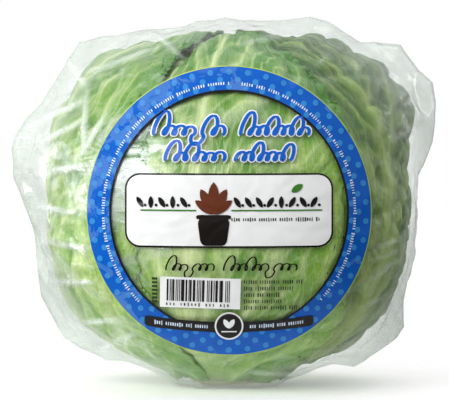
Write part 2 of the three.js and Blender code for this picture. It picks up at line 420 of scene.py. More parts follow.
def film_material():
    """Clear film: see-through, milky where it stands off or is creased, with a crisp gloss, and with painted
    light: glare on some panes, a painted sheen spot, and haze that follows the lamp at the left.
    """
    r = Recipe("clear_film")
    place = r.place()
    split = r.node("ShaderNodeSeparateXYZ", Vector=place).outputs
    side = r.span(split["X"], -75 * MM, 55 * MM)  # from the left to the right
    stand = r.attribute("stand_off")
    milk = r.noise(place, 26, 4.0, 0.65, 0.5)
    wisps = r.noise(r.place((24, 60, 170), (0.3, 0.25, 0.4)), 1.0, 5.0, 0.65, 2.4)
    wisps = r.span(wisps, 0.52, 0.7)

    # Painted glare: some of the film's panes are drawn whiter, more of them at the left, as highlights of the
    # lamp there.
    panes = r.mapped(place, (70, 70, 110), (0.4, 0.7, 0.2))
    panes = r.node("ShaderNodeTexVoronoi", Vector=panes, Scale=1.0).outputs["Color"]
    panes = r.node("ShaderNodeSeparateColor", Color=panes).outputs[0]
    painted_glare = r.times(r.math("SUBTRACT", panes, r.times(side, 0.4)), r.span(stand, 0.1, 0.6, 1.0, 0.6))
    painted_glare = r.times(r.span(painted_glare, 0.44, 0.56), r.span(r.noise(place, 75, 4.0, 0.7, 0.8), 0.42, 0.6))

    # The haze of the film itself, with painted light and shade: it thins towards the right and over the top,
    # turns grey on the ears at the right, and its wisps gather at the lit left; along the creases it is
    # partly the film's own whitening and partly painted glints.
    haze = r.plus(0.02, r.times(stand, r.span(split["Z"], 20 * MM, 100 * MM, 0.25, 0.04)))
    haze = r.plus(haze, r.times(painted_glare, 0.15), r.times(r.attribute("crease"), 0.6))
    haze = r.times(haze, r.span(milk, 0.25, 0.75, 0.5, 1.5))
    haze = r.plus(haze, r.times(wisps, r.span(side, 0.2, 0.55, 0.1, 0.04)))
    haze = r.times(haze, r.math("SUBTRACT", 1.0, r.times(side, 0.75)))
    haze = r.times(haze, r.span(split["Z"], 110 * MM, 150 * MM, 1.0, 0.55))
    haze = r.plus(haze, r.times(stand, side, 0.14))

    # A veil where the film turns away round the sides, made stronger at the left and low down as painted
    # light from the lamp at the left, and the painted sheen spot.
    low_left = r.times(
        r.span(split["X"], -75 * MM, 20 * MM, 0.38, 0.21), r.span(split["Z"], 38 * MM, 95 * MM, 1.1, 0.36)
    )
    veil = r.times(low_left, r.span(split["Z"], 5 * MM, 35 * MM, 0.3, 1.0))
    veil = r.times(veil, r.times(r.attribute("veil"), r.span(milk, 0.3, 0.7, 0.5, 1.2)))
    # Painted sheen: a whiter, broken patch on the film at the left inside the ring, a highlight of the lamp
    # at the left.
    from_sheen_spot = r.node("ShaderNodeVectorMath", {"operation": "DISTANCE"}, Vector=place)
    from_sheen_spot.inputs[1].default_value = PAINTED_SHEEN_SPOT
    broken = r.noise(r.place((45, 45, 110), (0.0, 0.6, 0.3)), 1.0, 5.0, 0.7, 1.2)
    painted_sheen = r.times(
        r.span(from_sheen_spot.outputs["Value"], 8 * MM, 26 * MM, 0.45, 0.0), r.span(broken, 0.4, 0.56)
    )
    haze = r.plus(haze, r.plus(veil, painted_sheen))

    rucks = r.plus(r.noise(place, 60, 2.0, 0.5, 0.8), r.times(wisps, 0.35))
    normal = r.bump(rucks, 0.3, 1.2 * MM)
    mirror = r.node("ShaderNodeLayerWeight", Blend=0.15, Normal=normal).outputs["Fresnel"]
    outward = r.math("SUBTRACT", 1.0, r.node("ShaderNodeNewGeometry").outputs["Backfacing"])
    share = r.plus(haze, r.math("MINIMUM", r.times(mirror, outward, 0.7), 0.3))
    clear = r.node("ShaderNodeBsdfTransparent", Color=(0.988, 0.996, 0.991, 1)).outputs["BSDF"]
    milky = r.node(
        "ShaderNodeBsdfPrincipled", Base_Color=(0.93, 0.99, 0.96, 1), Metallic=0.2,
        Roughness=r.span(milk, 0.3, 0.7, 0.1, 0.22), Normal=normal,
    ).outputs["BSDF"]
    return r.finish(r.mixed(r.node("ShaderNodeClamp", Value=share).outputs[0], clear, milky))


def ink_material(name, ink, worn=None, painted_glare=None):
    """Printing ink on film: a slightly uneven coat under a gloss, with paler patches painted on as glare of
    the lamp, more of them at the left and towards the top.
    """
    r = Recipe(name)
    place = r.place()
    uneven = r.span(r.noise(place, 140, 3.0, 0.6), 0.35, 0.65)
    tinted = r.mix(r.times(uneven, 0.35), ink, worn or tuple(c * 0.82 for c in ink[:3]) + (1.0,))
    if painted_glare:
        split = r.node("ShaderNodeSeparateXYZ", Vector=place).outputs
        # Painted glare: pale patches of the lamp's reflection, more at the left and fewer towards the bottom.
        glare_spots = r.noise(place, 62, 4.0, 0.7, 1.2)
        glare_spots = r.plus(glare_spots, r.span(split["X"], -50 * MM, 40 * MM, 0.06, -0.09))
        glare_spots = r.plus(glare_spots, r.span(split["Z"], 15 * MM, 75 * MM, -0.11, 0.0))
        tinted = r.mix(r.times(r.span(glare_spots, 0.53, 0.57), 0.5), tinted, painted_glare)
    shader = r.node(
        "ShaderNodeBsdfPrincipled", Base_Color=tinted, Roughness=r.span(uneven, 0, 1, 0.12, 0.18),
        Normal=r.bump(r.noise(place, 60, 2.0, 0.5, 0.8), 0.25, 1.2 * MM),
    )
    shader.inputs["Specular IOR Level"].default_value = 0.18
    return r.finish(shader.outputs["BSDF"])


# ============ helpers for pieces
def add_piece(name, bm, material, body="root"):
    """Turns a bmesh into a named piece that rides on the one body."""
    mesh = bpy.data.meshes.new(name)
    for face in bm.faces:
        face.smooth = True
    bm.to_mesh(mesh)
    bm.free()
    mesh.materials.append(material)
    piece = bpy.data.objects.new(name, mesh)
    bpy.context.scene.collection.objects.link(piece)
    if body:
        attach(piece, body)
    return piece


def solidify(piece, thickness):
    wall = piece.modifiers.new("wall", "SOLIDIFY")
    wall.thickness = thickness
    wall.offset = -1


# ============ the leaves
def crinkle(spot):
    """The dents of a crisp blade. They depend only on the place, so leaves that overlap follow each other."""
    blister = abs(noise.noise(spot * 62)) * 2
    ripple = abs(noise.noise(spot * 150 + Vector((5, 1, 2)))) * 2
    grain = noise.noise(spot * 420)
    return PUCKER * (0.25 + 0.75 * (1 - blister) ** 2) + 0.4 * MM * (1 - ripple) ** 2 + 0.1 * MM * grain


def vein_strength(across, along, arc, seed):
    """How much of a point on a leaf is rib: the midrib, then side veins that climb away from it."""
    wander = noise.noise(Vector((across * 1.7, along * 3.0, seed)))
    half = blend(RIB_HALF_WIDTH, 1.0 * MM, smooth(0, 0.95, along))
    middle = math.exp(-((arc + 5 * MM * wander * along) / half) ** 2)
    climb = along * SIDE_VEINS - abs(across) * SIDE_VEIN_RISE + 0.9 * wander + (0.35 if across > 0 else 0)
    off = abs(climb - round(climb))
    fade = (1 - smooth(0.45, 0.95, abs(across))) * (1 - 0.5 * along)
    side = math.exp(-((off / 0.17) ** 2)) * fade
    fork = climb * 2.3 + 1.4 * noise.noise(Vector((across * 4, along * 7, seed + 9)))
    twig = math.exp(-(((fork - round(fork)) / 0.12) ** 2)) * 0.4 * (1 - smooth(0.7, 1.0, abs(across)))
    return clamp(middle + 0.75 * side * (1 - middle) + twig * (1 - middle))


def make_leaf(name, centre, tip, whorl_depth, material, seed, cells):
    """One cupped leaf, shaped from a flat grid laid round the head."""
    bm = bmesh.new()
    bmesh.ops.create_grid(bm, x_segments=cells[0], y_segments=cells[1], size=1.0)
    layers = {key: bm.verts.layers.float.new(key) for key in LEAF_LAYERS}
    foot = math.degrees(math.asin((STEM_RADIUS + 1 * MM) / (BASE_DROP - whorl_depth - WHORL_DEPTH)))
    for v in bm.verts:
        across, along = v.co.x, (v.co.y + 1) / 2
        ragged = noise.noise(Vector((across * 5, along * 9, seed)))
        ragged += 0.6 * noise.noise(Vector((across * 17, along * 30, seed + 3)))
        ragged += 0.5 * noise.noise(Vector((across * 45, along * 70, seed + 6)))
        broad = blend(SPREAD_BASE, SPREAD_MIDDLE, smooth(0, 0.4, along))
        spread = blend(broad, SPREAD_TIP + TIP_WIDENING, smooth(0.55, 1, along))
        spread *= 1 + 0.045 * ragged * smooth(0.5, 1, abs(across))
        turn = spread * across
        tip_angle = min(tip + CROWN_REACH - TIP_ROUNDING * across**2 + 3.0 * ragged, CROWN_LIMIT)
        tilt = math.radians(blend(foot, tip_angle, along))
        azimuth = math.radians(centre + turn + LEAF_TWIST * (along - 0.5))
        flat = math.sin(tilt)
        direction = Vector((flat * math.cos(azimuth), flat * math.sin(azimuth), -math.cos(tilt)))
        reach = leaf_reach(direction)
        arc = math.radians(turn) * reach * max(0.25, flat)
        rib = vein_strength(across, along, arc, seed)
        edge = max(smooth(0.78, 1.0, abs(across)), smooth(0.88, 1.0, along)) * smooth(0.25, 0.6, along)
        spot = direction * reach
        ruffle = noise.noise(spot * 120 + Vector((0, 0, seed))) + 0.5 * noise.noise(spot * 260)
        pleat = noise.noise(Vector((arc * 72, along * 2.4, seed + 20)))
        dent = crinkle(spot) + PLEAT * pleat * (1 - rib) * smooth(0.0, 0.3, along)
        depth = whorl_depth + RISE_PER_DEGREE * (SPREAD_BASE - turn) + dent - SWELL
        depth += TUCK * smooth(-0.1, -0.4, across)
        depth -= RIB_HEIGHT * rib * (1 - 0.7 * along) * (1 - smooth(0.3, 0.9, abs(across)))
        depth += FRILL * edge * (0.35 + ruffle)
        pressed = 1 - print_calm(direction)
        depth = depth * (1 - 0.8 * pressed) - 0.6 * MM * pressed
        v.co = MIDDLE + direction * (reach - max(depth, -0.4 * MM))
        v[layers["across"]] = across
        v[layers["along"]] = along
        v[layers["rib"]] = rib
        v[layers["dent"]] = smooth(0.6 * MM, 2.8 * MM, dent)
        v[layers["frill"]] = clamp(edge * (0.75 + 0.5 * ruffle))
    piece = add_piece(f"{name}_blade", bm, material)
    solidify(piece, BLADE_WALL)
    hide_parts(name)
    return piece


def make_leaves():
    """Five outer leaves, then five in the gaps between them. Each kind is pale, deep, margin and rib."""
    kinds = {
        "yellow": (colour(166, 206, 64), colour(88, 148, 20), colour(64, 126, 40), colour(230, 240, 180)),
        "fresh": (colour(142, 190, 58), colour(72, 132, 20), colour(58, 118, 34), colour(216, 228, 162)),
        "deep": (colour(98, 144, 46), colour(44, 90, 18), colour(46, 92, 28), colour(168, 190, 104)),
    }
    for i, kind in enumerate(OUTER_COLOURS):
        green = leaf_material(f"outer_leaf_green_{i + 1}", *kinds[kind], i)
        azimuth = FIRST_LEAF_AZIMUTH + i * LEAF_PITCH
        tip, seed = OUTER_TIP_ANGLES[i], 3.7 * i + 1
        make_leaf(f"outer_leaf_{i + 1}", azimuth, tip, 0.0, green, seed, OUTER_GRID)
    green = leaf_material("inner_leaf_green", *kinds["yellow"], 7)
    for i, tip in enumerate(INNER_TIP_ANGLES):
        azimuth = FIRST_LEAF_AZIMUTH + (i + 0.5) * LEAF_PITCH
        depth, seed = INNER_WHORL_DEPTH, 2.9 * i + 40
        make_leaf(f"inner_leaf_{i + 1}", azimuth, tip, depth, green, seed, INNER_GRID)


# ============ the heart and the stem
def make_heart():
    """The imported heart: a puckered ball with the edges of its folded leaves winding over it."""
    bm = bmesh.new()
    bmesh.ops.create_icosphere(bm, subdivisions=6, radius=1.0)
    layers = {key: bm.verts.layers.float.new(key) for key in LEAF_LAYERS}
    for v in bm.verts:
        direction = v.co.normalized()
        reach = head_reach(direction) - HEART_DEPTH - HEART_CLEARANCE
        azimuth = math.atan2(direction.y, direction.x)
        tilt = math.acos(clamp(-direction.z, -1, 1))
        wander = noise.noise(direction * 2.2)
        fold = (azimuth / (2 * math.pi) * 4 + tilt * 0.35 + 0.5 * wander) % 1
        blister = abs(noise.noise(direction * 6)) + 0.5 * abs(noise.noise(direction * 14))
        v.co = MIDDLE + direction * (reach - 1.8 * MM * (1 - fold) - 1.4 * MM * blister)
        v[layers["across"]] = fold * 2 - 1
        v[layers["along"]] = tilt / math.pi
        v[layers["rib"]] = clamp(math.exp(-(((fold - 0.5) / 0.08) ** 2)) + 0.2)
        v[layers["frill"]] = smooth(0.9, 1.0, fold) * 0.6
    pale, deep, rim = colour(222, 228, 170), colour(186, 208, 124), colour(164, 192, 104)
    material = leaf_material("heart_leaf", pale, deep, rim, colour(240, 240, 210), 11)
    piece = add_piece("heart_leaves", bm, material)
    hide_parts("heart")


def make_stem():
    """The cut stem: a short spun stump with a bevelled, slightly sunken cut face."""
    bm = bmesh.new()
    radius = STEM_RADIUS / 1.06  # it widens a little towards the leaves
    low, high = STEM_LOW.z, STEM_HIGH.z
    profile = (
        (0.0, low + 0.7 * MM), (radius * 0.35, low + 0.7 * MM), (radius * 0.6, low + 0.1 * MM),
        (radius - 2 * MM, low), (radius - 0.4 * MM, low + 0.8 * MM), (radius, low + 2.4 * MM),
        (radius * 1.03, low + 8 * MM), (radius * 1.05, high - 0.5 * MM), (radius * 0.8, high), (0.0, high),
    )
    verts = [bm.verts.new((x, 0, z)) for x, z in profile]
    edges = [bm.edges.new(pair) for pair in zip(verts, verts[1:])]
    bmesh.ops.spin(
        bm, geom=verts + edges, cent=(0, 0, 0), axis=(0, 0, 1), dvec=(0, 0, 0),
        angle=2 * math.pi, steps=72, use_merge=True,
    )
    bmesh.ops.remove_doubles(bm, verts=bm.verts, dist=1e-5)
    bmesh.ops.subdivide_edges(bm, edges=bm.edges, cuts=1, use_grid_fill=True)
    for v in bm.verts:
        around = Vector((v.co.x, v.co.y, 0))
        lump = noise.noise(v.co * 140) * 0.5 * MM + noise.noise(v.co * 420) * 0.15 * MM
        if around.length > radius * 0.7:
            v.co -= around.normalized() * abs(lump) * 1.4
        elif v.co.z < low + 3 * MM:
            v.co.z += abs(lump) * 0.8
        v.co += Vector((MIDDLE.x, MIDDLE.y, 0))
    bmesh.ops.recalc_face_normals(bm, faces=bm.faces)
    piece = add_piece("cut_stem", bm, stem_material())
    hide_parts("stem_butt")


# ============ the film
def pull_facets(bm):
    """Shakes a coarse ball into uneven flat facets, each corner drawn in or out, then divides them evenly."""
    shaker = random.Random(12)
    turn_step, tilt_step = 2 * math.pi / FILM_COLUMNS, math.pi / FILM_ROWS
    for v in bm.verts:
        tilt = math.acos(clamp(-v.co.y, -1, 1))  # from the middle of the front
        turn = math.atan2(v.co.z, v.co.x)
        on_rim = abs(v.co.y) < 1e-4
        if math.sin(tilt) > 0.05:
            turn += turn_step * shaker.uniform(-0.36, 0.36)
            tilt += 0 if on_rim else tilt_step * shaker.uniform(-0.36, 0.36)
        out = math.sin(tilt)
        direction = Vector((out * math.cos(turn), -math.cos(tilt), out * math.sin(turn)))
        smooth_film = max(film_reaches(direction))
        stand = smooth_film - head_reach(direction) - FILM_GAP
        drawn = shaker.uniform(-1, 1) * (FACET_DEPTH + 0.1 * stand) * print_calm(direction)
        slack = 0.4 * MM * print_calm(direction)
        v.co = direction * (smooth_film + slack + drawn * (0.5 if on_rim else 1))
    bmesh.ops.triangulate(bm, faces=bm.faces, quad_method="SHORT_EDGE")
    bmesh.ops.subdivide_edges(bm, edges=bm.edges, cuts=FACET_CUTS, use_grid_fill=True)


def crease_at(point):
    """How near a point of the front lies to a crease, from 0 to 1, and that crease's height."""
    best, height = 0.0, 0.0
    x, z = (point.x - MIDDLE.x) / MM, (point.z - MIDDLE.z) / MM
    for x0, z0, x1, z1, high in CREASES:
        dx, dz = x1 - x0, z1 - z0
        t = clamp(((x - x0) * dx + (z - z0) * dz) / (dx * dx + dz * dz))
        distance = math.hypot(x - x0 - t * dx, z - z0 - t * dz)
        near = clamp(1 - distance / 1.4) * (0.35 + 0.65 * math.sin(math.pi * clamp(t, 0.02, 0.98)))
        if near > best:
            best, height = near, high * MM
    return best, height


def make_film():
    """The bag: a ball with its poles front and back, so one ring of its mesh is the sealed rim."""
    bm = bmesh.new()
    poles = Matrix.Rotation(math.pi / 2, 4, "X")
    bmesh.ops.create_uvsphere(bm, u_segments=FILM_COLUMNS, v_segments=FILM_ROWS, radius=1.0, matrix=poles)
    pull_facets(bm)
    stand_layer = bm.verts.layers.float.new("stand_off")
    crease_layer = bm.verts.layers.float.new("crease")
    veil_layer = bm.verts.layers.float.new("veil")
    for v in bm.verts:
        direction = v.co.normalized()
        calm = print_calm(direction)
        reach = v.co.length + 0.45 * MM * calm * noise.noise(direction * 11)
        reach += 0.35 * MM * calm * abs(noise.noise(direction * 26 + Vector((3, 3, 3))))
        point = MIDDLE + direction * max(reach, leaf_reach(direction) + FILM_CLEARANCE)
        near, height = crease_at(point) if direction.y < 0.1 else (0.0, 0.0)
        v.co = point + direction * near * height
        v.co.z = max(v.co.z, FILM_FOOT)
        v[stand_layer] = clamp((reach - head_reach(direction) - FILM_GAP) / (12 * MM))
        v[crease_layer] = near
        v[veil_layer] = smooth(0.54, 0.04, abs(direction.y))
    vents = [Vector((MIDDLE.x + side * VENT_SPREAD / 2, 0, MIDDLE.z + VENT_HEIGHT)) for side in (-1, 1)]
    holes = [
        face for face in bm.faces
        if face.calc_center_median().y > 0
        and any((face.calc_center_median() - vent).xz.length < VENT_RADIUS for vent in vents)
    ]
    bmesh.ops.delete(bm, geom=holes, context="FACES")
    bmesh.ops.recalc_face_normals(bm, faces=bm.faces)
    tree = BVHTree.FromBMesh(bm)
    piece = add_piece("clear_film", bm, film_material())
    solidify(piece, FILM_WALL)
    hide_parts("film_wrap")
    return tree


# ============ the print
def flat_point(x, z):
    """A spot on the print, in metres right of and above its middle, before it is laid on the film."""
    return Vector((x, 0, z))


def lay_on_film(bm, film, coat):
    """Moves a flat print onto the film's front, above the coats of ink that lie under it."""
    bmesh.ops.remove_doubles(bm, verts=bm.verts, dist=0.01 * MM)
    bmesh.ops.dissolve_degenerate(bm, edges=bm.edges, dist=0.001 * MM)
    for v in bm.verts:
        start = Vector((MIDDLE.x + v.co.x * PRINT_WIDE, -1, MIDDLE.z + PRINT_RISE + v.co.z * PRINT_TALL))
        hit = film.ray_cast(start, Vector((0, 1, 0)))[0]
        v.co = Vector((start.x, hit.y - (coat + 1) * INK_LIFT, start.z))
    for face in bm.faces:
        face.normal_update()
        if face.normal.y > 0:
            face.normal_flip()


def annulus(bm, inner, outer, start=0.0, end=360.0, around=240, across=6):
    """A flat ring, or an arc of one, from a grid bent round."""
    made = bmesh.ops.create_grid(bm, x_segments=around, y_segments=across, size=1.0)["verts"]
    for v in made:
        angle = math.radians(blend(start, end, (v.co.x + 1) / 2))
        radius = blend(inner, outer, (v.co.y + 1) / 2)
        v.co = flat_point(radius * math.cos(angle), radius * math.sin(angle))
    return made


def slab(bm, x, z, width, height, corner=0.0, turn=0.0, cells=(8, 4)):
    """A flat rectangle, its corners rounded where corner is given."""
    made = bmesh.ops.create_grid(bm, x_segments=cells[0], y_segments=cells[1], size=1.0)["verts"]
    spin = Matrix.Rotation(turn, 3, "Y")
    for v in made:
        px, pz = v.co.x * width / 2, v.co.y * height / 2
        over_x, over_z = abs(px) - (width / 2 - corner), abs(pz) - (height / 2 - corner)
        if corner and over_x > 0 and over_z > 0:
            share = max(over_x, over_z) / math.hypot(over_x, over_z)
            px = math.copysign(width / 2 - corner + over_x * share, px)
            pz = math.copysign(height / 2 - corner + over_z * share, pz)
        v.co = spin @ flat_point(px, pz) + flat_point(x, z)
    return made


def disc(bm, x, z, radius, segments=14):
    turned = Matrix.Translation((x, 0, z)) @ Matrix.Rotation(math.pi / 2, 4, "X")
    return bmesh.ops.create_circle(
        bm, cap_ends=True, cap_tris=True, segments=segments, radius=radius, matrix=turned
    )["verts"]


def leaf_shape(bm, x, z, length, width, turn):
    """A small pointed leaf from a pinched grid."""
    made = bmesh.ops.create_grid(bm, x_segments=10, y_segments=4, size=1.0)["verts"]
    for v in made:
        px = v.co.x * length / 2
        pz = v.co.y * width / 2 * (1 - v.co.x**2) ** 0.75
        v.co = flat_point(
            x + px * math.cos(turn) - pz * math.sin(turn), z + px * math.sin(turn) + pz * math.cos(turn)
        )
    return made


def ribbon(bm, points, width, swell=0.0):
    """A flat stroke: a short edge extruded from point to point, wider by the swell where it is upright."""
    previous = None
    for i, point in enumerate(points):
        ahead = points[min(i + 1, len(points) - 1)] - points[max(i - 1, 0)]
        side = Vector((-ahead.z, 0, ahead.x)).normalized()
        side *= (width - swell + 1.6 * swell * abs(side.x)) / 2
        if previous is None:
            ends = [bm.verts.new(point + side), bm.verts.new(point - side)]
            previous = bm.edges.new(ends)
            continue
        made = bmesh.ops.extrude_edge_only(bm, edges=[previous])["geom"]
        previous = next(g for g in made if isinstance(g, bmesh.types.BMEdge))
        first, second = previous.verts
        link = next(e.other_vert(first) for e in first.link_edges if e is not previous)
        if (link.co - points[i - 1]).dot(side) < 0:
            first, second = second, first
        first.co, second.co = point + side, point - side


def scribble(x, z, length, height, marks, slope=0.32):
    """A run of joined pen loops. Each mark is how tall its loop is, and below zero it hangs down."""
    steps = 16
    pitch = length / (len(marks) + 0.5)
    points = []
    for i in range(len(marks) * steps + 1):
        t = min(i / steps, len(marks) - 1e-6)
        mark = marks[int(t)]
        phase = 2 * math.pi * (t - int(t))
        up = mark * height * (1 - math.cos(phase)) / 2
        curl = (0.42 if abs(mark) > 1.2 else 0.34) * pitch
        points.append(flat_point(x + t * pitch - curl * math.sin(phase) + up * slope, z + up))
    return points


def ticks(bm, spots, height, seed):
    """Short upright strokes that stand where small print would be. Each spot is x, z and a turn."""
    shaker = random.Random(seed)
    for x, z, turn in spots:
        tall = height * shaker.choice((0.7, 0.7, 0.75, 1.0))
        slab(bm, x, z, 0.42 * MM * shaker.uniform(0.8, 1.5), tall, turn=turn, cells=(1, 1))


def arc_spots(radius, start, end, seed, pitch=1.05 * MM):
    """Spots along an arc round the print's middle, with a gap after each few, as between words."""
    shaker = random.Random(seed)
    step = math.degrees(pitch / radius)
    spots, angle, left = [], start, 5
    direction = 1 if end > start else -1
    while (end - angle) * direction > 0:
        if left > 0:
            a = math.radians(angle)
            spots.append((radius * math.cos(a), radius * math.sin(a), math.pi / 2 - a))
            left -= 1
        else:
            left = shaker.randint(3, 9)
        angle += step * direction
    return spots


def row_spots(x, z, length, seed, pitch=0.95 * MM, slope=0.0):
    """Spots along a straight row, with gaps as between words."""
    shaker = random.Random(seed)
    spots, at, left = [], 0.0, shaker.randint(3, 8)
    while at < length:
        if left > 0:
            spots.append((x + at, z + slope * at, 0.0))
            left -= 1
        else:
            left = shaker.randint(3, 9)
        at += pitch
    return spots


def ring_edge(bm):
    annulus(bm, RING_OUTER - 0.1 * MM, RING_OUTER + 0.35 * MM, around=280, across=1)


def ring_band(bm):
    annulus(bm, RING_INNER, RING_OUTER, around=280, across=8)


def ring_dots(bm):
    """Staggered dots in rows round the band, cut off by its edges."""
    for row, row_radius in enumerate(DOT_ROWS):
        for i in range(DOTS_IN_ROW):
            angle = 2 * math.pi * (i + 0.5 * (row % 2)) / DOTS_IN_ROW
            for v in disc(bm, row_radius * math.cos(angle), row_radius * math.sin(angle), DOT_RADIUS):
                away = math.hypot(v.co.x, v.co.z)
                v.co *= clamp(away, RING_INNER + 0.15 * MM, RING_OUTER - 0.15 * MM) / away


def ring_line(bm):
    annulus(bm, RING_INNER - LINE_WIDTH, RING_INNER + 0.1 * MM, around=280, across=1)


def ring_words(bm):
    spots = arc_spots(RING_WORDS_RADIUS, 224, 90, 3) + arc_spots(RING_WORDS_RADIUS, 84, -44, 4)
    ticks(bm, spots, 1.5 * MM, 8)


def plate_outline(bm):
    width, height = PLATE_WIDTH + 2 * PLATE_RIM, PLATE_HEIGHT + 2 * PLATE_RIM
    slab(bm, 0, PLATE_MIDDLE, width, height, PLATE_CORNER + PLATE_RIM, cells=(64, 26))


def plate(bm):
    slab(bm, 0, PLATE_MIDDLE, PLATE_WIDTH, PLATE_HEIGHT, PLATE_CORNER, cells=(64, 26))


def script(bm, width):
    """Two rows of two scribbles each: x, z, length and height in millimetres, and the loops."""
    for x, z, length, height, marks in (
        (-31.2, 31.7, 30.5, 3.7, (2.6, 1, 1, 0.9, -1.1, 2.1, 1)),
        (5.0, 31.7, 29.3, 3.7, (2.5, 0.9, 1, 2.0, 1, 1, 2.0, 0.8)),
        (-26.2, 21.3, 25.5, 3.5, (2.3, 0.9, 2.1, 1, 0.9, 1)),
        (2.8, 21.3, 24.0, 3.5, (1, 1, 2.1, 0.9, 1, 0.9, 1.9)),
    ):
        ribbon(bm, scribble(x * MM, z * MM, length * MM, height * MM, marks), width, 0.45 * MM)


def script_outline(bm):
    script(bm, 2.35 * MM)


def script_strokes(bm):
    script(bm, 1.25 * MM)


def lower_script(bm):
    for x, length, marks in (
        (-26.0, 20.5, (2.2, 1, 0.9, -1.1, 1, 1, 1)),
        (-2.0, 31.0, (2.2, 1, 1, 2.0, 0.9, 1, -1.1, 1, 1, 0.9)),
    ):
        ribbon(bm, scribble(x * MM, -23.4 * MM, length * MM, 2.8 * MM, marks), 0.6 * MM, 0.2 * MM)


def garland(bm):
    """A row of little leaves and berries either side of the pot."""
    shaker = random.Random(5)
    for start, count in ((-37.0, 5), (3.4, 8)):
        for i in range(count):
            x = start + i * 4.55
            lean = math.radians(shaker.choice((58, 90, 122)))
            leaf_shape(bm, x * MM, 4.4 * MM, 5.0 * MM, 2.1 * MM, lean)
            disc(bm, (x + 2.2) * MM, 3.2 * MM, 0.6 * MM)


def underlines(bm):
    slab(bm, -25.2 * MM, 1.1 * MM, 23.1 * MM, 0.6 * MM, cells=(20, 1))
    slab(bm, 19.8 * MM, 1.1 * MM, 37.8 * MM, 0.6 * MM, cells=(24, 1))
    leaf_shape(bm, 28.2 * MM, 10.0 * MM, 5.6 * MM, 2.8 * MM, math.radians(32))


def plate_words(bm):
    ticks(bm, row_spots(1.2 * MM, -2.6 * MM, 37 * MM, 21), 1.7 * MM, 22)


def pot(bm):
    """A pot that narrows downwards, and its rim."""
    foot = POT_MIDDLE - POT_HEIGHT / 2
    for v in slab(bm, POT_X, POT_MIDDLE, POT_WIDTH, POT_HEIGHT, 2.4 * MM, cells=(10, 10)):
        v.co.x = POT_X + (v.co.x - POT_X) * blend(0.78, 1.0, (v.co.z - foot) / POT_HEIGHT)
    slab(bm, POT_X, -1.6 * MM, 14.4 * MM, 1.8 * MM, 0.8 * MM, cells=(10, 3))


def sprig(bm):
    for turn, size in ((90, 13.0), (62, 11.5), (118, 11.5), (36, 9.5), (144, 9.5)):
        lean = math.radians(turn)
        middle = flat_point(POT_X, -0.4 * MM) + flat_point(math.cos(lean), math.sin(lean)) * size * 0.5 * MM
        leaf_shape(bm, middle.x, middle.z, size * MM, size * 0.36 * MM, lean)


def bar_panel(bm):
    slab(bm, -12.0 * MM, -32.8 * MM, 33.5 * MM, 12.8 * MM, turn=BAR_TURN, cells=(20, 8))


def bars(bm):
    shaker = random.Random(77)
    x = -25.6
    while x < 0.2:
        width = shaker.choice((0.35, 0.35, 0.7, 1.0))
        z = -31.9 - BAR_DROP * (x + 12)
        slab(bm, x * MM, z * MM, width * MM, 9.0 * MM, turn=BAR_TURN, cells=(1, 4))
        x += width + shaker.choice((0.35, 0.4, 0.7))


def bar_words(bm):
    ticks(bm, row_spots(-26 * MM, -37.4 * MM, 27 * MM, 31, 1.5 * MM, -BAR_DROP), 1.5 * MM, 32)


def small_print(bm):
    """Five short lines, and a column of bars at the left."""
    for i, length in enumerate((24, 21, 15, 16, 23)):
        ticks(bm, row_spots(6.4 * MM, (-28.2 - i * 2.7) * MM, length * MM, 50 + i), 2.0 * MM, 60 + i)
    for i in range(7):
        slab(bm, -31.0 * MM, (-26.9 - 1.6 * i) * MM, 2.3 * MM, 0.95 * MM, cells=(2, 1))


def banner_line(x):
    return BANNER_MIDDLE + BANNER_RISE * (x / (BANNER_WIDTH / 2)) ** 2


def banner(bm):
    for v in slab(bm, 0, 0, BANNER_WIDTH, BANNER_TALL, 1.6 * MM, cells=(70, 5)):
        v.co.z += banner_line(v.co.x)


def banner_words(bm):
    spots = row_spots(-31 * MM, 0, 22 * MM, 90) + row_spots(9 * MM, 0, 22 * MM, 91)
    ticks(bm, [(x, banner_line(x), 0.0) for x, _, _ in spots], 1.9 * MM, 92)


def round_patch(bm, radius):
    for v in annulus(bm, 0.0, radius, around=48, across=5):
        v.co.z += SEAL_HEIGHT


def seal_rim(bm):
    round_patch(bm, 6.0 * MM)


def seal_face(bm):
    round_patch(bm, 5.3 * MM)


def seal_mark(bm):
    """Two small leaves on a rule."""
    for turn in (60, 120):
        lean = math.radians(turn)
        leaf_shape(bm, 2.0 * MM * math.cos(lean), SEAL_HEIGHT + 1.0 * MM, 4.6 * MM, 2.2 * MM, lean)
    slab(bm, 0, SEAL_HEIGHT - 2.4 * MM, 6.4 * MM, 0.5 * MM, cells=(4, 1))


